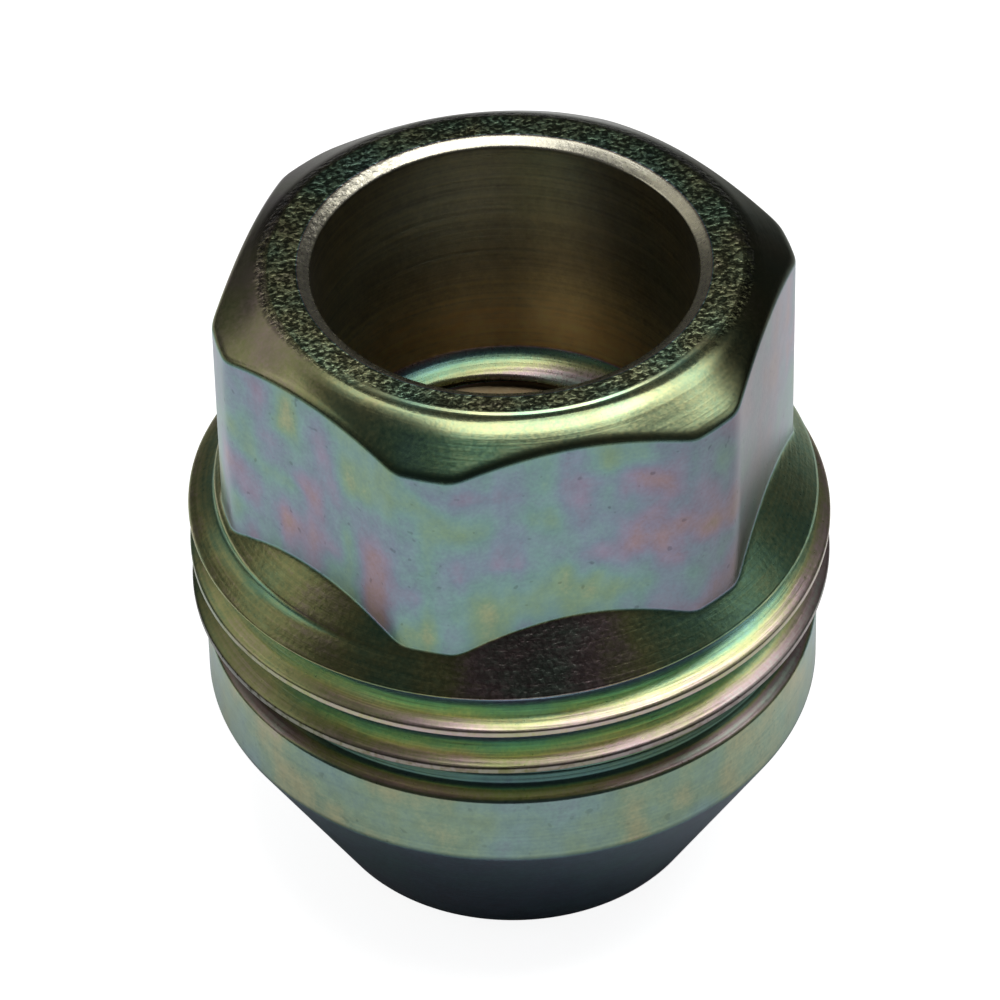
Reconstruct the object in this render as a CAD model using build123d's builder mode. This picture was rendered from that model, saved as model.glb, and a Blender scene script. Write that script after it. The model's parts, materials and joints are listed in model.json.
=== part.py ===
from build123d import *
import math
import os

# A steel wheel nut, open at both ends, made in one piece. The nut stands on its seat end:
# Z is its axis, and heights are measured up from the nose face. All sizes are millimetres.

# Wrench hexagon, with corners turned round and a chamfered top
overall_height = 29.5
across_flats = 22.0
corner_diameter = 24.1
top_face_diameter = 18.9
top_chamfer_angle = 30.0

# Shoulder below the hexagon, a cone that rises to the middle of each flat
shoulder_height = 19.8
shoulder_angle = 45.0

# External thread that holds a trim cap, right-handed with one start
cap_thread_diameter = 26.8
cap_thread_root_diameter = 24.55
cap_thread_pitch = 2.0
cap_thread_flank_angle = 60.0
cap_thread_root_flat = 0.42
cap_thread_end_angle = 174.0

# Relief groove where the thread ends above the plain band, a little deeper than the thread
relief_undercut = 0.08
relief_root_width = 0.6

# Plain band and conical wheel seat
band_diameter = 25.8
band_width = 3.25
nose_diameter = 16.2
seat_cone_angle = 60.0
nose_edge_chamfer = 0.3

# Bore: a counterbore at the hexagon end and the stud thread's minor diameter below it
counterbore_diameter = 15.8
counterbore_depth = 11.1
counterbore_floor_angle = 90.0
rim_radius = 0.5
stud_thread_minor_diameter = 12.38
stud_thread_entry_diameter = 14.6
stud_thread_entry_angle = 90.0


def cone_rise(radius_change, half_angle):
    """Axial length of a cone whose radius changes by radius_change."""
    return radius_change / math.tan(math.radians(half_angle))


# Radii and heights that follow from the driving dimensions
apothem = across_flats / 2
corner_radius = corner_diameter / 2
top_face_radius = top_face_diameter / 2
crest_radius = cap_thread_diameter / 2
root_radius = cap_thread_root_diameter / 2
relief_radius = root_radius - relief_undercut
band_radius = band_diameter / 2
nose_radius = nose_diameter / 2
counterbore_radius = counterbore_diameter / 2
stud_bore_radius = stud_thread_minor_diameter / 2
entry_radius = stud_thread_entry_diameter / 2
flank_slope = math.tan(math.radians(cap_thread_flank_angle / 2))

seat_top = cone_rise(band_radius - nose_radius, seat_cone_angle / 2)
band_top = seat_top + band_width
relief_bottom = band_top + (band_radius - relief_radius) * flank_slope
relief_top = relief_bottom + relief_root_width
thread_start = relief_top + (crest_radius - relief_radius) * flank_slope
shoulder_bottom = shoulder_height - cone_rise(crest_radius - apothem, shoulder_angle)
shoulder_apex = shoulder_height + cone_rise(apothem - stud_bore_radius, shoulder_angle)
chamfer_drop = (corner_radius - top_face_radius) * math.tan(math.radians(top_chamfer_angle))
counterbore_floor = overall_height - counterbore_depth
floor_bottom = counterbore_floor - cone_rise(
    counterbore_radius - stud_bore_radius, counterbore_floor_angle / 2
)
entry_top = cone_rise(entry_radius - stud_bore_radius, stud_thread_entry_angle / 2)

# Cutting tools run past the faces that they open by this much, and past the thread's crests
clear = 1.0
crest_clear = 0.1

# The thread groove's middle starts in the relief and climbs until it is clear of the shoulder
groove_depth = crest_radius - root_radius + crest_clear
groove_root_half = cap_thread_root_flat / 2
groove_mouth_half = groove_root_half + groove_depth * flank_slope
groove_start = relief_top - groove_root_half
groove_end = shoulder_height - cone_rise(root_radius - apothem, shoulder_angle) + groove_mouth_half

# The groove is cut in steps of half a turn, each starting where the last one ended
step_angle = 180.0
step_rise = cap_thread_pitch * step_angle / 360
step_count = math.ceil((groove_end - groove_start) / step_rise)


with BuildPart() as groove_cutter:
    # One step of the thread groove: a V with a flat root, swept along a right-hand helix
    with BuildLine() as groove_path:
        Helix(pitch=cap_thread_pitch, height=step_rise, radius=root_radius)
    groove_plane = Plane(
        origin=groove_path.line @ 0,
        x_dir=(1, 0, 0),
        z_dir=groove_path.line % 0,
    )
    with BuildSketch(groove_plane):
        with BuildLine():
            Polyline(
                (0, -groove_root_half),
                (groove_depth, -groove_mouth_half),
                (groove_depth, groove_mouth_half),
                (0, groove_root_half),
                close=True,
            )
        make_face()
    sweep(path=groove_path.line, is_frenet=True)


with BuildPart() as lug_nut:
    # Wrench hexagon, which runs down inside the shoulder so that the cone scallops its flats
    with BuildSketch(Plane.XY.offset(relief_top)):
        RegularPolygon(radius=apothem, side_count=6, major_radius=False)
    extrude(amount=overall_height - relief_top)

    # Turning that rounds the hexagon's corners and chamfers its top
    with BuildSketch(Plane.XZ):
        with BuildLine():
            Polyline(
                (0, relief_top),
                (corner_radius, relief_top),
                (corner_radius, overall_height - chamfer_drop),
                (top_face_radius, overall_height),
                (0, overall_height),
                close=True,
            )
        make_face()
    revolve(axis=Axis.Z, mode=Mode.INTERSECT)

    # Turned body: wheel seat, plain band, relief, thread blank and shoulder
    with BuildSketch(Plane.XZ) as turned_section:
        with BuildLine():
            Polyline(
                (0, 0),
                (nose_radius, 0),
                (band_radius, seat_top),
                (band_radius, band_top),
                (relief_radius, relief_bottom),
                (relief_radius, relief_top),
                (crest_radius, thread_start),
                (crest_radius, shoulder_bottom),
                (stud_bore_radius, shoulder_apex),
                (0, shoulder_apex),
                close=True,
            )
        make_face()
        nose_corner = turned_section.vertices().sort_by_distance((nose_radius, 0))[0]
        chamfer(nose_corner, length=nose_edge_chamfer)
    revolve(axis=Axis.Z)

    # Bore: entry chamfer, stud thread bore, conical floor and counterbore
    with BuildSketch(Plane.XZ):
        with BuildLine():
            Polyline(
                (0, -clear),
                (entry_radius + clear, -clear),
                (stud_bore_radius, entry_top),
                (stud_bore_radius, floor_bottom),
                (counterbore_radius, counterbore_floor),
                (counterbore_radius, overall_height + clear),
                (0, overall_height + clear),
                close=True,
            )
        make_face()
    revolve(axis=Axis.Z, mode=Mode.SUBTRACT)

    # Rounded mouth of the counterbore
    top_face = lug_nut.faces().filter_by(GeomType.PLANE).sort_by(Axis.Z)[-1]
    fillet(top_face.edges().sort_by(SortBy.RADIUS)[0], radius=rim_radius)

    # External thread, which runs out of the relief below and off the shoulder above
    for step in range(step_count):
        step_height = groove_start + step * step_rise
        step_turn = cap_thread_end_angle + step * step_angle
        with Locations(Location((0, 0, step_height), (0, 0, step_turn))):
            add(groove_cutter.part, mode=Mode.SUBTRACT)

lug_nut.part.label = "lug_nut"
os.makedirs("parts", exist_ok=True)
export_step(lug_nut.part, "parts/lug_nut.step")
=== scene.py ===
"""Looks of the wheel nut: one metal body with its threads, edges and coloured zinc finish."""

import json
import math

import bmesh
import bpy
import numpy as np
from mathutils import Matrix, Vector

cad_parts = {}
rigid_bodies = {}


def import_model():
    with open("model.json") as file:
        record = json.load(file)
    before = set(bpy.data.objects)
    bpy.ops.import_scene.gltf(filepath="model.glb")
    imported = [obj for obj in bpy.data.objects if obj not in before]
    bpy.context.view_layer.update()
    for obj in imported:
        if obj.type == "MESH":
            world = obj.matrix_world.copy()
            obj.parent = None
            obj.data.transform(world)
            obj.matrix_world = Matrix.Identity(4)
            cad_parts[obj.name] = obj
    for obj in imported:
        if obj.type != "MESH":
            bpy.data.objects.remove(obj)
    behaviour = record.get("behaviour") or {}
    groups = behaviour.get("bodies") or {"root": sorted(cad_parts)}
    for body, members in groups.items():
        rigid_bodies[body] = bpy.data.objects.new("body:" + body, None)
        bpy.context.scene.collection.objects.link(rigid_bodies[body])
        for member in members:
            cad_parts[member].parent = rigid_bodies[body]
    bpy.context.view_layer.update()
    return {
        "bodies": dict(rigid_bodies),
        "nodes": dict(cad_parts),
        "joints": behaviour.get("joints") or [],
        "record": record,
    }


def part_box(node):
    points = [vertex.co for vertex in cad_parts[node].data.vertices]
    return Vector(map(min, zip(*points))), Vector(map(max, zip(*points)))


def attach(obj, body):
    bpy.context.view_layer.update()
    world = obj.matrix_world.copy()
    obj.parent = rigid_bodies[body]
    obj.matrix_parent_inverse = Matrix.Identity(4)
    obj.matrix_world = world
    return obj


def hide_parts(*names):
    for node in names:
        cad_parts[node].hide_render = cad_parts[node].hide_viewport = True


MM = 0.001
TAU = 2 * math.pi

# Sizes in millimetres that follow the frame's solid, with Z as the nut's axis
ACROSS_FLATS = 22.0
CORNER_DIAMETER = 24.1
TOP_FACE_DIAMETER = 18.9
CHAMFER_ANGLE = math.radians(30)
SHOULDER_HEIGHT = 19.8
CAP_PITCH = 2.0
CAP_ROOT_DIAMETER = 24.55
CAP_ROOT_FLAT = 0.42
CAP_END_ANGLE = math.radians(174)
RELIEF_UNDERCUT = 0.08
RELIEF_ROOT_WIDTH = 0.6
BAND_DIAMETER = 25.8
BAND_WIDTH = 3.25
NOSE_DIAMETER = 16.2
NOSE_CHAMFER = 0.3
SEAT_HALF_ANGLE = math.radians(30)
COUNTERBORE_DEPTH = 11.1
ENTRY_DIAMETER = 14.6
STUD_PITCH = 1.5
STUD_START = 0.53
STUD_MAJOR_DIAMETER = 14.0
FLANK = math.tan(math.radians(30))

# Degrees from the X axis, clockwise from above, to the side that is seen in front, and degrees from
# that side over which a change on one side of the nut fades out towards the back
FRONT_ANGLE = 104
BACK_FADE = (135, 172)

# The chamfer's section: a rounded top edge that rolls over into a steeper cone
TOP_EDGE_RADIUS = 3.0
TOP_EDGE_DROP = 0.02
TOP_EDGE_SLOPE = math.radians(17)
OUTER_SLOPE = math.radians(35)

# Fine step at the front of the top face, with its middle and reach in degrees around the nut
TOP_STEP = 0.06
TOP_STEP_SLOPE = math.tan(math.radians(25))
TOP_STEP_OFFSET = 0.08
TOP_STEP_SHARES = (1, 0.9, 0.5, 0.1, 0)
TOP_STEP_MIDDLE = 10
TOP_STEP_REACH = 42
CHAMFER_GAP = 0.05

# Sloped lip around the counterbore
LIP_WIDTH = 0.5
LIP_SLOPE = math.radians(29)
LIP_ROUND = 0.1

# Roundings of edges that the solid leaves sharp, in millimetres
HEX_EDGE_BLEND = 0.32
CORNER_BLEND = 0.2
SHOULDER_BLEND = 0.12
CREST_BLEND = 0.10
ROOT_BLEND = 0.22
BAND_EDGE_BLEND = 0.12
FLOOR_BLEND = 0.35
FLOOR_BLEND_END = 0.85
FLOOR_SLOPE = math.tan(math.radians(32))
STUD_ROOT_BLEND = 0.1
STUD_CREST_BLEND = 0.08
ENTRY_EDGE = ((-0.1, 0.1), (-0.03, 0.02), (0.05, 0))

# Millimetres on each side of an edge over which the mesh's rows lie closer together
SEAT_EDGE_SPAN = 0.25
BAND_EDGE_SPAN = 0.15
SCALLOP_SPAN = 0.14
BELOW_ARCH_SPAN = 0.32
ABOVE_ARCH_SPAN = 0.2

# Rows on the shoulder, as shares of its height, and in half a turn of each thread's groove, as
# shares of its pitch
SHOULDER_SHARES = (0.2, 0.4, 0.6, 0.72, 0.8, 0.86, 0.91, 0.96, 1)
CAP_LEVELS = (0, 0.04, 0.08, 0.12, 0.16, 0.205, 0.25, 0.31, 0.36, 0.39, 0.415, 0.435, 0.455, 0.475)
STUD_LEVELS = (0, 0.05, 0.1, 0.2, 0.3, 0.37, 0.42)

# Degrees from a corner of the hexagon towards the middle of a flat, at which the mesh has columns
SIDES = 6
COLUMNS = (
    (0, 1.7, 3.2, 4.3, 4.9, 5.4, 5.9, 6.4, 6.9, 7.6, 8.8)
    + (10.4, 12.2, 14, 16, 18, 20, 22, 24, 26, 28)
)


def smooth_min(a, b, blend):
    """The smaller of two radii, with a rounded edge where they cross."""
    share = np.clip(0.5 + 0.5 * (b - a) / blend, 0, 1)
    return b + (a - b) * share - blend * share * (1 - share)


def smooth_max(a, b, blend):
    """The larger of two radii, with a rounded corner where they cross."""
    return -smooth_min(-a, -b, blend)


def smoothstep(x, low, high):
    """0 below low, 1 above high and smooth between them."""
    t = np.clip((x - low) / (high - low), 0, 1)
    return t * t * (3 - 2 * t)


def bell(x, middle, width):
    """A smooth bump that is 1 at the middle."""
    return np.exp(-(((x - middle) / width) ** 2))


def around(angle):
    """Degrees around the nut from the side seen in front, positive to the right."""
    return np.mod(np.degrees(angle) + FRONT_ANGLE + 180, 360) - 180


def beyond(turn, start, end):
    """0 before start and 1 after end, fading out again before the back of the nut."""
    return smoothstep(turn, start, end) * (1 - smoothstep(turn, *BACK_FADE))


class Nut:
    """The nut's lengths, in millimetres, worked out from the frame and the sizes above."""

    def __init__(self, frame):
        low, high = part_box("lug_nut")
        mounts = {m["name"]: m for m in frame["record"]["mounts"]}
        self.height = high.z / MM
        self.crest = high.x / MM
        self.bore = mounts["stud_thread"]["dims"]["r_mm"]
        self.counterbore = mounts["counterbore"]["dims"]["r_mm"]
        self.apothem = ACROSS_FLATS / 2
        self.corner = CORNER_DIAMETER / 2
        self.top_face = TOP_FACE_DIAMETER / 2
        self.root = CAP_ROOT_DIAMETER / 2
        self.relief = self.root - RELIEF_UNDERCUT
        self.band = BAND_DIAMETER / 2
        self.nose = NOSE_DIAMETER / 2
        self.entry = ENTRY_DIAMETER / 2
        self.stud_major = STUD_MAJOR_DIAMETER / 2
        self.seat_top = (self.band - self.nose) / math.tan(SEAT_HALF_ANGLE)
        self.band_top = self.seat_top + BAND_WIDTH
        self.relief_bottom = self.band_top + (self.band - self.relief) * FLANK
        self.relief_top = self.relief_bottom + RELIEF_ROOT_WIDTH
        self.groove_start = self.relief_top - CAP_ROOT_FLAT / 2
        self.floor = self.height - COUNTERBORE_DEPTH
        self.floor_bottom = self.floor - (self.counterbore - self.bore) * FLOOR_SLOPE
        self.shoulder_foot = SHOULDER_HEIGHT + self.apothem - self.corner

        # The chamfer rolls over from the top face's edge into a cone that ends at the corners
        self.corner_height = self.height - (self.corner - self.top_face) * math.tan(CHAMFER_ANGLE)
        arc_top = self.height - TOP_EDGE_DROP
        roll = math.cos(TOP_EDGE_SLOPE) - math.cos(OUTER_SLOPE)
        self.bend_z = arc_top - TOP_EDGE_RADIUS * roll
        bend_r = self.corner - (self.bend_z - self.corner_height) / math.tan(OUTER_SLOPE)
        self.arc_r = bend_r - TOP_EDGE_RADIUS * math.sin(OUTER_SLOPE)
        self.arc_z = self.bend_z - TOP_EDGE_RADIUS * math.cos(OUTER_SLOPE)
        self.chamfer_top = (self.arc_r + TOP_EDGE_RADIUS * math.sin(TOP_EDGE_SLOPE), arc_top)

        # The fine step slopes up from its foot beside the chamfer, and the lip ends the top face
        self.step_run = TOP_STEP / TOP_STEP_SLOPE
        self.step_foot = self.top_face + TOP_STEP_OFFSET
        self.step_top = self.step_foot - self.step_run
        self.lip = self.counterbore + LIP_WIDTH

    def hexagon(self, angle):
        """Radius of the hexagon's outline, with corners on the X axis turned round."""
        from_flat = np.mod(angle, TAU / SIDES) - TAU / SIDES / 2
        return smooth_min(self.apothem / np.cos(from_flat), self.corner, CORNER_BLEND)

    def shoulder_line(self, angle):
        """Height at which the 45 degree shoulder meets the hexagon."""
        return SHOULDER_HEIGHT - (self.hexagon(angle) - self.apothem)

    def chamfer_line(self, angle):
        """Height at which the top chamfer meets the hexagon."""
        return self.corner_height + (self.corner - self.hexagon(angle)) * math.tan(OUTER_SLOPE)

    def groove_phase(self, angle, z):
        """Height above the middle of the cap groove's nearest turn, and that middle's height."""
        start = self.groove_start + CAP_PITCH * (angle - CAP_END_ANGLE) / TAU
        turns = np.round((z - start) / CAP_PITCH)
        middle = start + turns * CAP_PITCH
        return z - middle, middle

    def turned_blank(self, z):
        """Radius of the band, the relief and the cap thread's blank, before its groove is cut."""
        seat = self.nose + z * math.tan(SEAT_HALF_ANGLE)
        band = smooth_min(seat, self.band, BAND_EDGE_BLEND)
        falling = self.band - (z - self.band_top) / FLANK
        rising = self.relief + (z - self.relief_top) / FLANK
        relief = smooth_max(smooth_min(band, falling, BAND_EDGE_BLEND), self.relief, ROOT_BLEND)
        return band, smooth_max(relief, smooth_min(rising, self.crest, CREST_BLEND), ROOT_BLEND)

    def cap_groove(self, angle, z):
        """Radius of the cap thread's groove, which starts in the relief."""
        phase, middle = self.groove_phase(angle, z)
        flank = self.root + (np.abs(phase) - CAP_ROOT_FLAT / 2) / FLANK
        groove = smooth_max(flank, self.root, ROOT_BLEND)
        return np.where(middle < self.groove_start - 1e-6, self.crest + 1, groove)

    def chamfer(self, z):
        """Radius of the top chamfer: a cone below the bend and a rounded edge above it."""
        cone = self.corner + (self.corner_height - z) / math.tan(OUTER_SLOPE)
        rise = np.clip(z - self.arc_z, 0, TOP_EDGE_RADIUS)
        arc = self.arc_r + np.sqrt(TOP_EDGE_RADIUS ** 2 - rise ** 2)
        return np.where(z < self.bend_z, cone, arc)

    def outside(self, angle, z):
        """Outer radius of the nut at an angle and a height."""
        band, blank = self.turned_blank(z)
        shoulder = SHOULDER_HEIGHT + self.apothem - z
        threaded = smooth_min(blank, self.cap_groove(angle, z), CREST_BLEND)
        turned = smooth_min(threaded, shoulder, CREST_BLEND)
        hexagon = smooth_min(self.hexagon(angle), self.chamfer(z), HEX_EDGE_BLEND)
        above = smooth_max(turned, hexagon, SHOULDER_BLEND)
        return np.where(z < self.band_top - 2 * BAND_EDGE_BLEND, band, above)

    def inside(self, angle, z):
        """Radius of the bore at an angle and a height, up to the counterbore's floor."""
        start = STUD_START + STUD_PITCH * angle / TAU
        phase = z - start - STUD_PITCH * np.round((z - start) / STUD_PITCH)
        root_half = STUD_PITCH / 16
        flank = self.stud_major - (np.abs(phase) - root_half) / FLANK
        groove = smooth_min(flank, self.stud_major, STUD_ROOT_BLEND)
        thread = smooth_max(groove, self.bore, STUD_CREST_BLEND)
        entry = self.entry - z
        cone = self.counterbore - (self.floor - z) / FLOOR_SLOPE
        return smooth_max(smooth_max(thread, entry, STUD_CREST_BLEND), cone, STUD_CREST_BLEND)


def column_angles():
    """Angles of the mesh's columns, closer together where the flats meet the turned corners."""
    side = 360 / SIDES
    sector = list(COLUMNS) + [side / 2] + [side - step for step in reversed(COLUMNS[1:])]
    degrees = [side * number + step for number in range(SIDES) for step in sector]
    return np.radians(np.array(degrees + [360.0]))


def stepped_heights(low, *spans):
    """Heights above low, in spans of (top, count) that are each evenly divided."""
    heights = []
    for high, count in spans:
        heights += [low + (high - low) * share for share in np.linspace(0, 1, count + 1)[1:]]
        low = high
    return heights


def helix_heights(angles, low, high, pitch, start, half):
    """Heights that climb with a thread, cut off at low and high so that they meet level rows."""
    levels = [-step for step in reversed(half[1:])] + list(half) + [0.5]
    first = math.floor((low - start - pitch) / pitch)
    last = math.ceil((high - start) / pitch)
    climb = pitch * angles / TAU
    heights = []
    for turn in range(first, last + 1):
        for level in levels:
            z = start + (turn + level) * pitch + climb
            if z.max() > low and z.min() < high:
                heights.append(np.clip(z, low, high))
    return heights


def curve_pairs(a, corner, b, count):
    """(radius, height) pairs along a rounded corner from a to b."""
    shares = np.linspace(0, 1, count)
    return [
        tuple((1 - t) ** 2 * a[i] + 2 * t * (1 - t) * corner[i] + t * t * b[i] for i in (0, 1))
        for t in shares
    ]


class Section:
    """Rows of radii and heights around the nut's closed section, with a value for each column."""

    def __init__(self, nut):
        self.nut = nut
        self.angles = column_angles()
        self.rows = []

    def add(self, pairs):
        """Adds rows from radii and heights, each one number or one for every column."""
        level = 0 * self.angles
        for r, z in pairs:
            self.rows.append((r + level, z + level))

    def follow(self, side, heights):
        """Adds rows at the heights, where the nut's outside or inside gives the radii."""
        self.add((side(self.angles, z + 0 * self.angles), z) for z in heights)

    def add_seat_and_band(self, relief_middle):
        """Nose edge, seat, band and the lower side of the relief."""
        nut = self.nut
        flat_end = nut.nose - NOSE_CHAMFER
        edge_z = NOSE_CHAMFER * math.cos(SEAT_HALF_ANGLE)
        edge_r = nut.nose + NOSE_CHAMFER * math.sin(SEAT_HALF_ANGLE)
        self.add(curve_pairs((flat_end, 0), (nut.nose, 0), (edge_r, edge_z), 5))
        self.follow(nut.outside, stepped_heights(
            edge_z,
            (nut.seat_top - SEAT_EDGE_SPAN, 8),
            (nut.seat_top + SEAT_EDGE_SPAN, 6),
            (nut.band_top - BAND_EDGE_SPAN, 6),
            (relief_middle, 12),
        ))

    def add_cap_thread(self, relief_middle):
        """Cap thread, whose rows climb with the groove."""
        nut = self.nut
        start = nut.groove_start - CAP_PITCH * CAP_END_ANGLE / TAU
        low, high = relief_middle, nut.shoulder_foot
        heights = helix_heights(self.angles, low, high, CAP_PITCH, start, CAP_LEVELS)
        self.follow(nut.outside, heights + [high])

    def add_hexagon(self):
        """Shoulder, flats and chamfer, whose rows follow the curved lines where they meet."""
        nut = self.nut
        foot = nut.shoulder_foot
        scallop = nut.shoulder_line(self.angles) + SCALLOP_SPAN
        arch = nut.chamfer_line(self.angles)
        self.follow(nut.outside, (foot + (scallop - foot) * share for share in SHOULDER_SHARES))
        self.follow(nut.outside, stepped_heights(
            scallop,
            (arch - BELOW_ARCH_SPAN, 7),
            (arch + ABOVE_ARCH_SPAN, 13),
            (nut.chamfer_top[1], 12),
        ))

    def add_top_face(self):
        """Top face, whose edge in front dips in a fine slope to a groove beside the chamfer."""
        nut = self.nut
        front = bell(around(self.angles), TOP_STEP_MIDDLE, TOP_STEP_REACH)
        chamfer_start, arc_top = nut.chamfer_top
        self.add([(chamfer_start - CHAMFER_GAP, arc_top - 0.5 * TOP_STEP * front)])
        self.add(
            (nut.step_foot - nut.step_run * (1 - share), nut.height - TOP_STEP * front * share)
            for share in TOP_STEP_SHARES
        )
        radii = np.linspace(nut.step_top, nut.lip + LIP_ROUND, 11)[1:]
        self.add((r, nut.height) for r in radii)

    def add_lip(self):
        """Sloped lip around the counterbore, rounded at both of its edges."""
        nut = self.nut
        top = (nut.lip, nut.height)
        foot = (nut.counterbore, nut.height - LIP_WIDTH * math.tan(LIP_SLOPE))

        def on_lip(distance):
            inward = distance * math.cos(LIP_SLOPE)
            down = distance * math.sin(LIP_SLOPE)
            return (top[0] - inward, top[1] - down)

        end = on_lip(LIP_WIDTH / math.cos(LIP_SLOPE) - LIP_ROUND)
        wall_top = foot[1] - LIP_ROUND
        self.add(curve_pairs((nut.lip + LIP_ROUND, nut.height), top, on_lip(LIP_ROUND), 5)[1:])
        self.add(curve_pairs(end, foot, (nut.counterbore, wall_top), 6))
        return wall_top

    def add_counterbore(self, wall_top):
        """Counterbore wall and its conical floor, down to where the stud thread starts."""
        nut = self.nut
        wall_end = (nut.counterbore, nut.floor + FLOOR_BLEND)
        corner = (nut.counterbore, nut.floor)
        reach = FLOOR_BLEND * FLOOR_BLEND_END
        cone_start = (nut.counterbore - reach, nut.floor - reach * FLOOR_SLOPE)
        thread_radius = nut.stud_major + STUD_ROOT_BLEND
        thread_end = nut.floor - (nut.counterbore - thread_radius) * FLOOR_SLOPE
        self.add((nut.counterbore, z) for z in np.linspace(wall_top, wall_end[1], 17)[1:])
        self.add(curve_pairs(wall_end, corner, cone_start, 6)[1:])
        self.follow(nut.inside, stepped_heights(cone_start[1], (thread_end, 3)))
        return thread_end

    def add_stud_thread(self, thread_end):
        """Stud thread from the top down, the entry chamfer and the nose face."""
        nut = self.nut
        entry_end = nut.entry - nut.stud_major - STUD_ROOT_BLEND
        low, high = entry_end, thread_end
        heights = helix_heights(self.angles, low, high, STUD_PITCH, STUD_START, STUD_LEVELS)
        self.follow(nut.inside, reversed([entry_end] + heights))
        self.add((nut.entry + outwards, z) for outwards, z in ENTRY_EDGE)
        self.add([((nut.entry + nut.nose - NOSE_CHAMFER) / 2, 0)])


def nut_section(nut):
    """All rows of the nut's section, from the nose up the outside and down the bore."""
    section = Section(nut)
    relief_middle = (nut.relief_bottom + nut.relief_top) / 2
    section.add_seat_and_band(relief_middle)
    section.add_cap_thread(relief_middle)
    section.add_hexagon()
    section.add_top_face()
    wall_top = section.add_lip()
    thread_end = section.add_counterbore(wall_top)
    section.add_stud_thread(thread_end)
    return section


def link(name, data):
    """A new object in the scene."""
    item = bpy.data.objects.new(name, data)
    bpy.context.scene.collection.objects.link(item)
    return item


def nut_object(nut):
    """The nut's closed mesh, made from the rows of its section."""
    section = nut_section(nut)
    angles = section.angles
    rows = len(section.rows)
    columns = len(angles)
    r = np.array([row[0] for row in section.rows])
    z = np.array([row[1] for row in section.rows])
    points = np.stack([r * np.cos(angles), r * np.sin(angles), z], axis=2).reshape(-1, 3) * MM
    faces = []
    for row in range(rows):
        here = row * columns
        after = (row + 1) % rows * columns
        for column in range(columns - 1):
            faces.append((here + column, here + column + 1, after + column + 1, after + column))
    mesh = bpy.data.meshes.new("lug_nut_body")
    mesh.from_pydata(points.tolist(), [], faces)
    work = bmesh.new()
    work.from_mesh(mesh)
    bmesh.ops.remove_doubles(work, verts=work.verts, dist=1e-8)
    bmesh.ops.dissolve_degenerate(work, edges=work.edges, dist=1e-9)
    bmesh.ops.recalc_face_normals(work, faces=work.faces)
    work.to_mesh(mesh)
    work.free()
    mesh.shade_smooth()
    return link("lug_nut_body", mesh)


def zone_masks(nut, r, z, angle):
    """Share of each zone of the surface at each vertex, with narrow smooth steps between them."""
    inner = ((r < nut.counterbore + 0.02) & (z > 0.01)).astype(float)
    outer = 1 - inner
    scallop = nut.shoulder_line(angle)
    arch = nut.chamfer_line(angle)
    shoulder_sum = SHOULDER_HEIGHT + nut.apothem
    top_edge = nut.chamfer_top[0]
    above_seat = smoothstep(z, nut.seat_top - 0.04, nut.seat_top + 0.04)
    above_band = smoothstep(z, nut.band_top - 0.02, nut.band_top + 0.1)
    above_thread = smoothstep(z + r, shoulder_sum - 0.10, shoulder_sum - 0.04)
    above_shoulder = smoothstep(z, scallop - 0.05, scallop + 0.12)
    above_flat = smoothstep(z, arch - 0.3, arch + 0.05)
    top = 1 - smoothstep(r, top_edge - 0.05, top_edge + 0.05)
    rim = 1 - smoothstep(r, nut.lip - 0.02, nut.lip + 0.08)
    floor = 1 - smoothstep(z, nut.floor + 0.05, nut.floor + 0.25)
    stud = 1 - smoothstep(z, nut.floor_bottom - 0.05, nut.floor_bottom + 0.1)
    return {
        "seat": outer * (1 - above_seat),
        "band": outer * above_seat * (1 - above_band),
        "thread": outer * above_band * (1 - above_thread),
        "shoulder": outer * above_thread * (1 - above_shoulder),
        "flat": outer * above_shoulder * (1 - above_flat),
        "chamfer": outer * above_flat * (1 - top),
        "top": outer * above_flat * top * (1 - rim),
        "rim": outer * rim * above_flat,
        "wall": inner * (1 - floor),
        "floor": inner * floor * (1 - stud),
        "stud": inner * stud,
    }


# Finish of each zone: place along the film's colours, strength of its colour, brightness,
# roughness, and shares of film clouds, turning rings and pits
CHANNELS = ("film", "colour", "tone", "rough", "cloud", "ring", "pit")
FINISH = {
    # The seat's low brightness is painted shade, for the floor's shadow under the nut
    "seat": (0.55, 1.00, 0.46, 0.34, 0.12, 0.3, 0.1),
    "band": (0.74, 0.62, 0.51, 0.30, 0.45, 0.4, 0.0),
    "thread": (0.81, 0.96, 1.24, 0.30, 0.15, 0.8, 0.0),
    "shoulder": (0.84, 1.00, 0.62, 0.30, 0.16, 0.6, 0.12),
    "flat": (0.60, 0.74, 0.58, 0.30, 0.75, 0.0, 0.0),
    "chamfer": (0.81, 0.88, 0.74, 0.23, 0.15, 0.2, 0.0),
    "top": (0.78, 0.80, 0.78, 0.32, 0.30, 0.2, 1.0),
    "rim": (0.09, 0.60, 1.15, 0.28, 0.05, 0.4, 0.08),
    "wall": (0.03, 0.90, 0.62, 0.34, 0.06, 1.0, 0.0),
    "floor": (0.67, 0.95, 0.66, 0.28, 0.10, 0.5, 0.0),
    "stud": (0.24, 0.90, 0.80, 0.30, 0.10, 0.4, 0.0),
}


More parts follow.
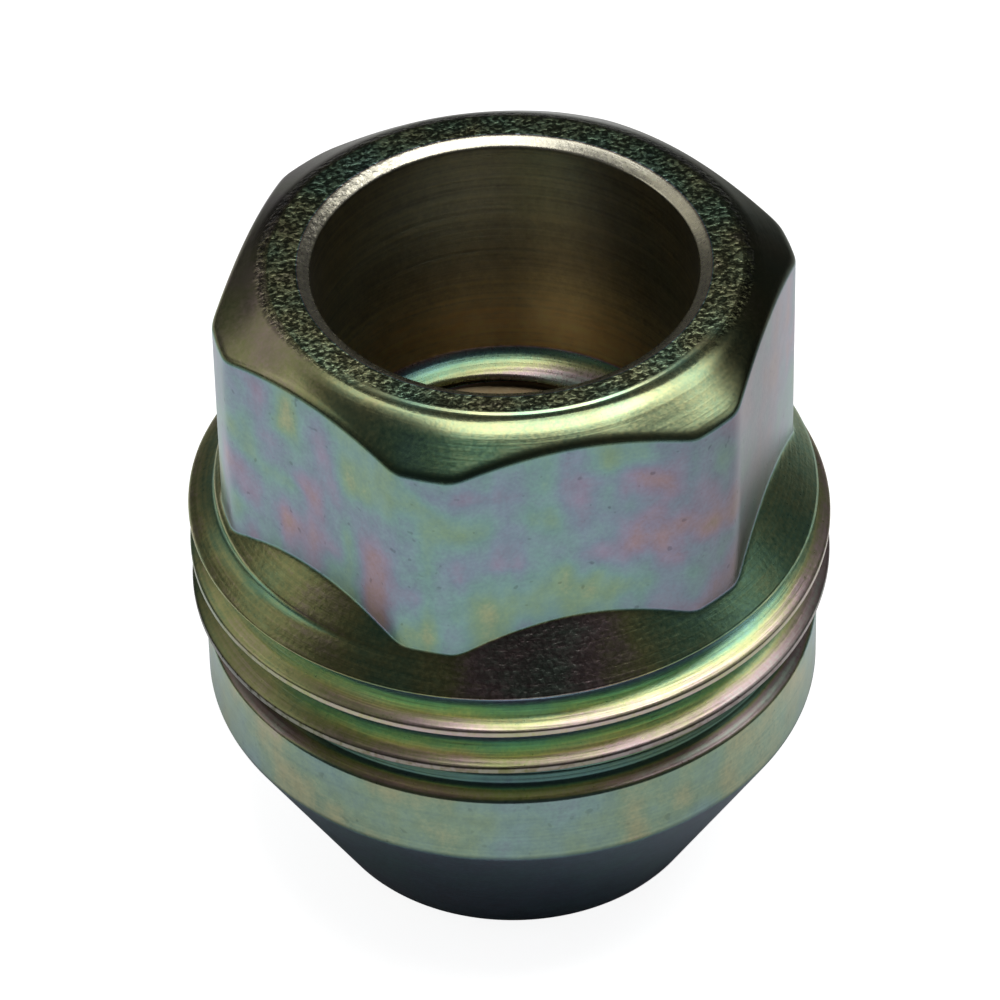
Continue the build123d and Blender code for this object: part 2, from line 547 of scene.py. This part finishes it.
class Surface:
    """The mesh's vertices and the finish of each one.

    Radii and heights are millimetres. Turns are degrees around the nut from the side seen in
    front, positive to the right, and away is the same without its sign.
    """

    def __init__(self, mesh, nut):
        co = np.empty(len(mesh.vertices) * 3)
        mesh.vertices.foreach_get("co", co)
        x, y, self.z = (co.reshape(-1, 3) / MM).T
        self.mesh = mesh
        self.nut = nut
        self.r = np.hypot(x, y)
        self.angle = np.arctan2(y, x)
        self.turn = around(self.angle)
        self.away = np.abs(self.turn)
        self.masks = zone_masks(nut, self.r, self.z, self.angle)
        total = sum(self.masks.values())
        self.finish = {
            channel: sum(mask * FINISH[zone][place] for zone, mask in self.masks.items()) / total
            for place, channel in enumerate(CHANNELS)
        }

    def change(self, channel, share, amount):
        """Adds an amount to a channel of the finish, in the share given for each vertex."""
        self.finish[channel] += share * amount

    def store(self):
        """Writes the finish into the mesh, one attribute for each channel."""
        for name, values in self.finish.items():
            layer = self.mesh.attributes.new(name, "FLOAT", "POINT")
            layer.data.foreach_set("value", values.astype(np.float32))

    def paint_thread(self):
        """Cap thread: gold beside the crests, blue in the roots and olive on the left, with painted
        shade that darkens it deeper in the groove, on the crests, on the left, on the lower turns
        and most in the relief.
        """
        nut = self.nut
        thread = self.masks["thread"]
        depth = np.clip((nut.crest - self.r) / (nut.crest - nut.root), 0, 1)
        left = beyond(-self.turn, 20, 60)
        sinking = 0.15 * smoothstep(depth, 0.25, 0.68) + 0.18 * smoothstep(depth, 0.78, 1.0)
        self.change("film", thread * (1 - left), 0.08 - sinking)
        self.change("film", thread * left, 0.05 * bell(depth, 0.4, 0.3) - 0.06 * depth)
        # Painted shade: darker on the left, deeper in the groove and on the crests
        self.change("tone", thread * left, -0.26)
        self.change("tone", thread, -0.25 * depth - 0.60 * (1 - smoothstep(depth, 0.02, 0.07)))

        # Lower turns are pinker on the right and darkened by painted shade, and the relief below
        # them is brown and darker still from painted shade
        low_turn = thread * (1 - smoothstep(self.z, nut.relief_top + 1.2, nut.relief_top + 3.2))
        relief = thread * (1 - smoothstep(self.z, nut.relief_top + 0.1, nut.relief_top + 0.6))
        self.change("film", low_turn * beyond(self.turn, 0, 40), 0.05)
        self.change("tone", low_turn, -0.34)
        self.change("film", relief, 0.16 - 0.08 * smoothstep(depth, 0.8, 1.0))
        self.change("tone", relief * smoothstep(depth, 0.5, 0.9), -0.36)

        # Bare metal on the crests
        self.finish["wear"] = 0.3 * thread * smoothstep(self.r, nut.crest - 0.06, nut.crest - 0.01)

    def paint_bore(self):
        """Counterbore: olive near the mouth and amber towards its floor, with painted light that
        brightens the lower wall, and a floor whose film runs to yellow, lighter on the right and
        darker on the left from painted light and shade; painted shade darkens the stud thread
        towards the back.
        """
        nut = self.nut
        floor = self.masks["floor"]
        low_wall = self.masks["wall"] * (1 - smoothstep(self.z, nut.floor + 0.5, nut.floor + 6))
        floor_width = nut.counterbore - nut.stud_major + 0.3
        inward = np.clip((nut.counterbore - self.r) / floor_width, 0, 1)
        across = floor * np.sin(np.radians(self.turn - 180))
        self.change("film", low_wall, 0.16)
        # Painted light: the lower wall is made brighter
        self.change("tone", low_wall, 1.00)
        self.change("film", floor * inward, 0.30)
        self.change("film", across, -0.20)
        self.change("film", floor * (1 - smoothstep(inward, 0.05, 0.2)), -0.12)
        # Painted light and shade: the floor is lighter on the right and darker on the left
        self.change("tone", across, -0.48)
        # Painted shade: the stud thread is darker towards the back
        self.change("tone", self.masks["stud"] * smoothstep(self.away, 90, 150), -0.62)

    def paint_shoulder(self):
        """Shoulder: olive on the left, brown in front, darkened there by painted shade, and green
        on both sides of that, with a little painted shade on the front-left.
        """
        shoulder = self.masks["shoulder"]
        brown = shoulder * bell(self.turn, 5, 16)
        green = np.maximum(beyond(self.turn, 18, 32), bell(self.turn, -22, 10))
        self.change("film", brown, 0.12)
        self.change("film", shoulder * green, -0.08)
        # Painted shade: darker in front and a little darker on the front-left
        self.change("tone", brown, -0.30)
        self.change("tone", shoulder * bell(self.turn, -36, 26), -0.12)
        self.change("pit", brown, 0.26)

    def paint_chamfer(self):
        """Chamfer: brown on the left, green low in front with painted shade that darkens it there,
        and painted shade that darkens it on the front-left and on the far sides.
        """
        nut = self.nut
        chamfer = self.masks["chamfer"]
        foot = 1 - smoothstep(self.z, nut.height - 0.6, nut.height - 0.25)
        green = chamfer * foot * bell(self.turn, -14, 20)
        shaded = np.maximum(beyond(self.turn, 46, 60), smoothstep(self.away, 85, 115))
        self.change("film", chamfer * beyond(-self.turn, 35, 60), 0.07)
        self.change("film", green, -0.085)
        self.change("colour", green, 0.15)
        # Painted shade: darker low in front, on the front-left and on the far sides
        self.change("tone", green, -0.19)
        self.change("tone", chamfer * bell(self.turn, -42, 16), -0.14)
        self.change("tone", chamfer * shaded, -0.60)

    def paint_arch_shade(self):
        """Painted shade: a dark line in front, level with the rounded edge between chamfer and
        flats.
        """
        above_arch = self.z - self.nut.chamfer_line(self.angle)
        line = bell(above_arch, 0.02, 0.10) * bell(self.turn, 8, 45)
        self.finish["tone"] *= 1 - 0.62 * line * (1 - self.masks["top"])

    def paint_sides(self):
        """A pinker flat on the right that painted shade darkens, and painted light on both sides of
        the band.
        """
        right_flat_tint_and_shade = self.masks["flat"] * bell(self.turn, 65, 26)
        self.change("film", right_flat_tint_and_shade, -0.15)
        self.change("colour", right_flat_tint_and_shade, -0.20)
        # Painted shade on the right flat, and painted light on the sides of the band
        self.change("tone", right_flat_tint_and_shade, -0.34)
        self.change("tone", self.masks["band"] * smoothstep(self.away, 35, 60), 0.08)

    def paint_top(self):
        """Lip with a painted highlight towards the back on the right, and pitted top face with
        painted light to the front-left and front-right and painted shade elsewhere, whose pits
        spread onto the chamfer, least in front.
        """
        nut = self.nut
        top = self.masks["top"]
        rim = self.masks["rim"]
        # Painted highlight on the lip towards the back on the right
        self.change("tone", rim * beyond(self.turn, 80, 125), 0.40)
        self.change("pit", rim * beyond(-self.turn, 60, 100), 0.25)
        beside = bell(self.turn, -42, 28) + bell(self.turn, 42, 28)
        # Painted light on the top face to the front-left and front-right, and painted shade
        # elsewhere
        self.change("tone", top, 0.50 * beside - 0.24)
        pits_end = nut.chamfer_top[0] + 0.1 + 0.45 * smoothstep(self.away, 35, 90)
        spread = self.masks["chamfer"] * (1 - smoothstep(self.r, pits_end - 0.2, pits_end))
        self.finish["pit"] = np.maximum(self.finish["pit"], spread)

        # The fine slope at the front edge is smooth, and a painted highlight makes it bright
        in_front = smoothstep(-np.abs(self.turn - TOP_STEP_MIDDLE), -60, -40)
        slope = top * smoothstep(self.r, nut.step_top - 0.03, nut.step_top) * in_front
        self.finish["pit"] *= 1 - slope
        self.change("tone", slope, 0.5)


def paint(body, nut):
    """Stores the finish, with its painted light and shade, on each vertex, as it changes over the
    nut's zones.
    """
    surface = Surface(body.data, nut)
    surface.paint_thread()
    surface.paint_bore()
    surface.paint_shoulder()
    surface.paint_chamfer()
    surface.paint_arch_shade()
    surface.paint_sides()
    surface.paint_top()
    surface.store()


class Nodes:
    """Short calls that add shader nodes to a material and link them."""

    def __init__(self, material):
        material.use_nodes = True
        self.tree = material.node_tree
        self.shader = self.tree.nodes["Principled BSDF"]

    def new(self, kind):
        return self.tree.nodes.new(kind)

    def feed(self, value, socket):
        """Links an output to a socket, or sets a number or colour on it."""
        if isinstance(value, bpy.types.NodeSocket):
            self.tree.links.new(value, socket)
        else:
            socket.default_value = value

    def place(self):
        """Coordinates on the object, in metres."""
        return self.new("ShaderNodeTexCoord").outputs["Object"]

    def math(self, operation, a, b):
        node = self.new("ShaderNodeMath")
        node.operation = operation
        self.feed(a, node.inputs[0])
        self.feed(b, node.inputs[1])
        return node.outputs[0]

    def add(self, a, b):
        return self.math("ADD", a, b)

    def subtract(self, a, b):
        return self.math("SUBTRACT", a, b)

    def multiply(self, a, b):
        return self.math("MULTIPLY", a, b)

    def vector(self, operation, a, b=None, scale=None, output="Vector"):
        node = self.new("ShaderNodeVectorMath")
        node.operation = operation
        self.feed(a, node.inputs[0])
        if b is not None:
            self.feed(b, node.inputs[1])
        if scale is not None:
            self.feed(scale, node.inputs["Scale"])
        return node.outputs[output]

    def attribute(self, name):
        node = self.new("ShaderNodeAttribute")
        node.attribute_name = name
        return node.outputs["Fac"]

    def step(self, value, low, high):
        """0 below low, 1 above high and smooth between them."""
        node = self.new("ShaderNodeMapRange")
        node.interpolation_type = "SMOOTHSTEP"
        self.feed(value, node.inputs["Value"])
        node.inputs["From Min"].default_value = low
        node.inputs["From Max"].default_value = high
        return node.outputs["Result"]

    def mix(self, share, a, b):
        node = self.new("ShaderNodeMix")
        node.data_type = "RGBA"
        self.feed(share, node.inputs["Factor"])
        self.feed(a, node.inputs["A"])
        self.feed(b, node.inputs["B"])
        return node.outputs["Result"]

    def noise(self, vector, scale, detail, distortion, w=None):
        node = self.new("ShaderNodeTexNoise")
        self.feed(vector, node.inputs["Vector"])
        if w is not None:
            node.noise_dimensions = "4D"
            self.feed(w, node.inputs["W"])
        node.inputs["Scale"].default_value = scale
        node.inputs["Detail"].default_value = detail
        node.inputs["Distortion"].default_value = distortion
        return node.outputs["Fac"]

    def ramp(self, value, stops):
        node = self.new("ShaderNodeValToRGB")
        ramp = node.color_ramp
        ramp.elements[0].position = stops[0][0]
        ramp.elements[0].color = (*stops[0][1], 1)
        ramp.elements[1].position = stops[-1][0]
        ramp.elements[1].color = (*stops[-1][1], 1)
        for place, colour in stops[1:-1]:
            ramp.elements.new(place).color = (*colour, 1)
        self.feed(value, node.inputs["Fac"])
        return node.outputs["Color"]

    def bump(self, height, distance, strength, below=None):
        """Bump of a height from 0 to 1, distance in metres, on top of the bump below it."""
        node = self.new("ShaderNodeBump")
        self.feed(height, node.inputs["Height"])
        self.feed(strength, node.inputs["Strength"])
        node.inputs["Distance"].default_value = distance
        if below is not None:
            self.feed(below, node.inputs["Normal"])
        return node.outputs["Normal"]


# Colours that the passivate film shows as it thickens
FILM_COLOURS = (
    (0.00, (0.62, 0.60, 0.52)),
    (0.12, (0.70, 0.64, 0.42)),
    (0.25, (0.60, 0.42, 0.20)),
    (0.36, (0.60, 0.38, 0.44)),
    (0.45, (0.46, 0.40, 0.60)),
    (0.54, (0.32, 0.46, 0.62)),
    (0.64, (0.28, 0.58, 0.55)),
    (0.74, (0.34, 0.60, 0.36)),
    (0.84, (0.64, 0.66, 0.30)),
    (0.93, (0.70, 0.52, 0.52)),
    (1.00, (0.55, 0.66, 0.55)),
)
BARE_METAL = (0.52, 0.52, 0.50, 1)
WORN_METAL = (0.42, 0.42, 0.40, 1)

# Noise patterns on the metal: scale per millimetre, detail and distortion
PATTERNS = {
    "rings": (1.0, 2.0, 0.0),
    "clouds": (0.2, 1.5, 0.8),
    "streaks": (0.6, 1.5, 0.0),
    "patches": (0.45, 1.5, 0.0),
    "speckle": (6.0, 3.0, 0.0),
    "pits": (4.6, 6.0, 0.3),
    "mottle": (1.6, 5.0, 0.0),
    "specks": (2.2, 1.0, 0.0),
    "wear": (3.0, 3.0, 0.0),
    "grain": (9.0, 2.0, 0.0),
}

# How fast the turning rings change around the nut, along its axis and across its radius, and how
# much slower the streaks change along the axis
RINGS_AROUND = 0.7
RINGS_ALONG = 7
RINGS_ACROSS = 7.0
STREAKS_ALONG = 0.18

# Range of the noise over which pits end, specks start and worn patches start
PIT_RANGE = (0.46, 0.59)
SPECK_RANGE = (0.70, 0.77)
WEAR_RANGE = (0.35, 0.55)

# How far each pattern moves the film along its colours
FINE_DRIFT = 0.55
RING_DRIFT = 0.15
SPECKLE_DRIFT = 0.10

# How much each pattern lightens or darkens the metal
GRAIN_BASE = 0.62
GRAIN_DEPTH = 0.38
RING_SHADE = 5.0
SPECK_SHADE = 0.40
PIT_LIGHT = 0.35
PIT_SHADE = 1.1
ROUGHNESS_DRIFT = 0.12

# Height of the fine relief, in metres, and its strength
RING_RELIEF = 0.00003
RING_STRENGTH = 0.6
PIT_RELIEF = 0.0001
GRAIN_RELIEF = 0.000004
GRAIN_STRENGTH = 0.5


def turning_rings(nodes, mm):
    """Noise that runs on around the axis and changes fast along and across it."""
    flat = nodes.vector("MULTIPLY", mm, (1, 1, 0))
    radius = nodes.vector("LENGTH", flat, output="Value")
    spoke = nodes.vector("SCALE", nodes.vector("NORMALIZE", flat), scale=RINGS_AROUND)
    height = nodes.vector("MULTIPLY", mm, (0, 0, RINGS_ALONG))
    wound = nodes.vector("ADD", spoke, height)
    return nodes.noise(wound, *PATTERNS["rings"], w=nodes.multiply(radius, RINGS_ACROSS))


def zinc_material():
    """Steel with an iridescent zinc passivate: film colours, turning rings, pits and worn edges."""
    material = bpy.data.materials.new("zinc_passivate")
    nodes = Nodes(material)
    shader = nodes.shader
    mm = nodes.vector("SCALE", nodes.place(), scale=1 / MM)
    rings = turning_rings(nodes, mm)
    ring_share = nodes.attribute("ring")
    cloud_share = nodes.attribute("cloud")
    pit_share = nodes.attribute("pit")

    # Film thickness: the zone's own, clouds, upright streaks and patches in it, and fine speckle
    upright = nodes.vector("MULTIPLY", mm, (1, 1, STREAKS_ALONG))
    clouds = nodes.noise(mm, *PATTERNS["clouds"])
    streaks = nodes.noise(upright, *PATTERNS["streaks"])
    patches = nodes.noise(mm, *PATTERNS["patches"])
    speckle = nodes.noise(mm, *PATTERNS["speckle"])
    fine_drift = nodes.multiply(nodes.subtract(nodes.add(streaks, patches), 1.0), FINE_DRIFT)
    cloud_drift = nodes.multiply(nodes.add(nodes.subtract(clouds, 0.5), fine_drift), cloud_share)
    ring_reach = nodes.multiply(ring_share, RING_DRIFT)
    ring_drift = nodes.multiply(nodes.subtract(rings, 0.5), ring_reach)
    speckle_drift = nodes.multiply(nodes.subtract(speckle, 0.5), SPECKLE_DRIFT)
    film = nodes.add(nodes.attribute("film"), cloud_drift)
    film = nodes.add(nodes.add(film, ring_drift), speckle_drift)
    tint = nodes.ramp(film, FILM_COLOURS)
    tinted = nodes.mix(nodes.attribute("colour"), BARE_METAL, tint)

    # Brightness: lighter and darker in turns where it is pitted, and darker in rings and specks
    pits = nodes.noise(mm, *PATTERNS["pits"])
    in_pits = nodes.multiply(pit_share, nodes.subtract(1.0, nodes.step(pits, *PIT_RANGE)))
    shade = nodes.add(nodes.multiply(pit_share, PIT_LIGHT), 1.0)
    shade = nodes.subtract(shade, nodes.multiply(in_pits, PIT_SHADE))
    mottle = nodes.noise(mm, *PATTERNS["mottle"])
    in_specks = nodes.step(nodes.noise(mm, *PATTERNS["specks"]), *SPECK_RANGE)
    specks = nodes.multiply(in_specks, cloud_share)
    grain = nodes.add(GRAIN_BASE, nodes.multiply(nodes.add(speckle, mottle), GRAIN_DEPTH))
    grain = nodes.add(grain, nodes.multiply(ring_drift, RING_SHADE))
    grain = nodes.subtract(grain, nodes.multiply(specks, SPECK_SHADE))
    tone = nodes.multiply(nodes.multiply(nodes.attribute("tone"), shade), grain)
    lit = nodes.vector("SCALE", tinted, scale=tone)

    # Bare metal in patches along the worn edges
    worn_patches = nodes.step(nodes.noise(mm, *PATTERNS["wear"]), *WEAR_RANGE)
    worn = nodes.multiply(nodes.attribute("wear"), worn_patches)
    nodes.feed(nodes.mix(worn, lit, WORN_METAL), shader.inputs["Base Color"])

    # Roughness, and the relief of rings, pits and fine grain
    rough_drift = nodes.multiply(nodes.subtract(speckle, 0.5), ROUGHNESS_DRIFT)
    nodes.feed(nodes.add(nodes.attribute("rough"), rough_drift), shader.inputs["Roughness"])
    relief = nodes.bump(rings, RING_RELIEF, nodes.multiply(ring_share, RING_STRENGTH))
    relief = nodes.bump(pits, PIT_RELIEF, pit_share, relief)
    fine_grain = nodes.noise(mm, *PATTERNS["grain"])
    relief = nodes.bump(fine_grain, GRAIN_RELIEF, GRAIN_STRENGTH, relief)
    nodes.feed(relief, shader.inputs["Normal"])
    shader.inputs["Metallic"].default_value = 1
    return material


# The floor glows for the camera, and in reflections only between two rings around the nut, in
# metres: inside the inner ring the missing glow is a painted shadow under the nut
FLOOR_HALF = 1.5
FLOOR_COLOUR = (0.86, 0.86, 0.86, 1)
FLOOR_ROUGHNESS = 0.9
CAMERA_GLOW = 0.9
REFLECTED_GLOW = 0.55
GLOW_STARTS = (0.014, 0.023)
GLOW_ENDS = (0.05, 0.09)


def floor_material():
    """Matt white that glows for the camera and in reflections, with a painted shadow close around
    the nut where reflections see no glow, and no glow in reflections far off.
    """
    material = bpy.data.materials.new("floor_white")
    nodes = Nodes(material)
    shader = nodes.shader
    shader.inputs["Base Color"].default_value = FLOOR_COLOUR
    shader.inputs["Roughness"].default_value = FLOOR_ROUGHNESS
    shader.inputs["Specular IOR Level"].default_value = 0
    shader.inputs["Emission Color"].default_value = (1, 1, 1, 1)
    distance = nodes.vector("LENGTH", nodes.place(), output="Value")
    # Painted shadow: no glow in reflections close around the nut
    outside_painted_shadow = nodes.step(distance, *GLOW_STARTS)
    far_off = nodes.step(distance, *GLOW_ENDS)
    path = nodes.new("ShaderNodeLightPath").outputs
    seen = nodes.multiply(path["Is Camera Ray"], CAMERA_GLOW)
    reflected = nodes.multiply(path["Is Glossy Ray"], REFLECTED_GLOW)
    mirrored = nodes.multiply(reflected, nodes.subtract(outside_painted_shadow, far_off))
    nodes.feed(nodes.add(seen, mirrored), shader.inputs["Emission Strength"])
    return material


def add_floor():
    """A large pale floor under the nut."""
    half = FLOOR_HALF
    corners = [(-half, -half, 0), (half, -half, 0), (half, half, 0), (-half, half, 0)]
    mesh = bpy.data.meshes.new("floor")
    mesh.from_pydata(corners, [], [(0, 1, 2, 3)])
    mesh.materials.append(floor_material())
    floor = link("floor", mesh)


# Camera above and in front of the nut, with its lens and sensor in millimetres
CAMERA_AZIMUTH = math.radians(-13.57)
CAMERA_ELEVATION = math.radians(41.08)
CAMERA_ROLL = math.radians(-1.27)
CAMERA_DISTANCE = 272.9 * MM
CAMERA_LENS = 235.25
CAMERA_SENSOR = 36
CAMERA_AIM = Vector((-0.385, 0.093, 16.73)) * MM
CAMERA_CLIP = (0.01, 10)

# Soft lamps, all at one distance: direction to the right of the camera, away from it and up,
# width and depth in metres, roll in degrees, radiance and colour
WHITE = (1, 1, 1)
LAMP_DISTANCE = 0.45
LAMP_AIM = Vector((0, 0, 15)) * MM
LAMPS = {
    "key": ((0.12, -0.06, 0.99), 0.32, 0.19, 6, 2.6, WHITE),
    "key_right": ((0.52, 0.14, 0.84), 0.22, 0.17, 28, 2.0, WHITE),
    "key_left": ((-0.30, 0.23, 0.93), 0.16, 0.10, -30, 1.5, WHITE),
    "left_back": ((-0.70, 0.40, 0.59), 0.28, 0.22, 0, 0.32, (1.0, 0.97, 0.86)),
    "left": ((-0.86, 0.03, 0.47), 0.24, 0.16, 0, 0.55, (1.0, 0.98, 0.9)),
    "right": ((0.86, 0.03, 0.47), 0.14, 0.14, 0, 0.6, WHITE),
}
WORLD_GREY = 0.05


def camera_frame():
    """Unit vectors to the right of the camera, level and away from it, and up."""
    right = Vector((math.cos(CAMERA_AZIMUTH), math.sin(CAMERA_AZIMUTH), 0))
    away = Vector((-math.sin(CAMERA_AZIMUTH), math.cos(CAMERA_AZIMUTH), 0))
    return right, away, Vector((0, 0, 1))


def facing(side, back, place):
    """Matrix of a camera or lamp at a place, with its X axis along side and Z along back."""
    turn = Matrix((side, back.cross(side), back)).transposed().to_4x4()
    return Matrix.Translation(place) @ turn


def add_camera():
    """The scene's camera, turned by its roll about the line of sight."""
    right, away, up = camera_frame()
    back = -away * math.cos(CAMERA_ELEVATION) + up * math.sin(CAMERA_ELEVATION)
    side = right * math.cos(CAMERA_ROLL) + back.cross(right) * math.sin(CAMERA_ROLL)
    data = bpy.data.cameras.new("camera")
    data.lens = CAMERA_LENS
    data.sensor_width = CAMERA_SENSOR
    data.clip_start, data.clip_end = CAMERA_CLIP
    camera = link("camera", data)
    camera.matrix_world = facing(side, back, CAMERA_AIM + back * CAMERA_DISTANCE)
    bpy.context.scene.camera = camera


def add_lamp(name, direction, width, depth, roll, radiance, colour):
    """A soft lamp that faces the nut from a direction given in the camera's level frame."""
    axes = camera_frame()
    back = sum((axis * part for axis, part in zip(axes, direction)), Vector()).normalized()
    side = (axes[0] - back * axes[0].dot(back)).normalized()
    data = bpy.data.lights.new(name, "AREA")
    data.shape = "RECTANGLE"
    data.size = width
    data.size_y = depth
    data.energy = radiance * math.pi * width * depth
    data.color = colour
    lamp = link(name, data)
    spin = Matrix.Rotation(math.radians(roll), 4, "Z")
    lamp.matrix_world = facing(side, back, back * LAMP_DISTANCE + LAMP_AIM) @ spin


def add_world():
    """Dim, even light from all around."""
    world = bpy.data.worlds.new("world")
    world.use_nodes = True
    background = world.node_tree.nodes["Background"]
    background.inputs["Color"].default_value = (WORLD_GREY, WORLD_GREY, WORLD_GREY, 1)
    bpy.context.scene.world = world


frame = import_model()

nut = Nut(frame)
body = nut_object(nut)
paint(body, nut)
body.data.materials.append(zinc_material())
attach(body, "root")
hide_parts("lug_nut")

add_floor()
add_camera()
add_world()
for name, lamp in LAMPS.items():
    add_lamp(name, *lamp)

scene = bpy.context.scene
scene.view_settings.view_transform = "Standard"
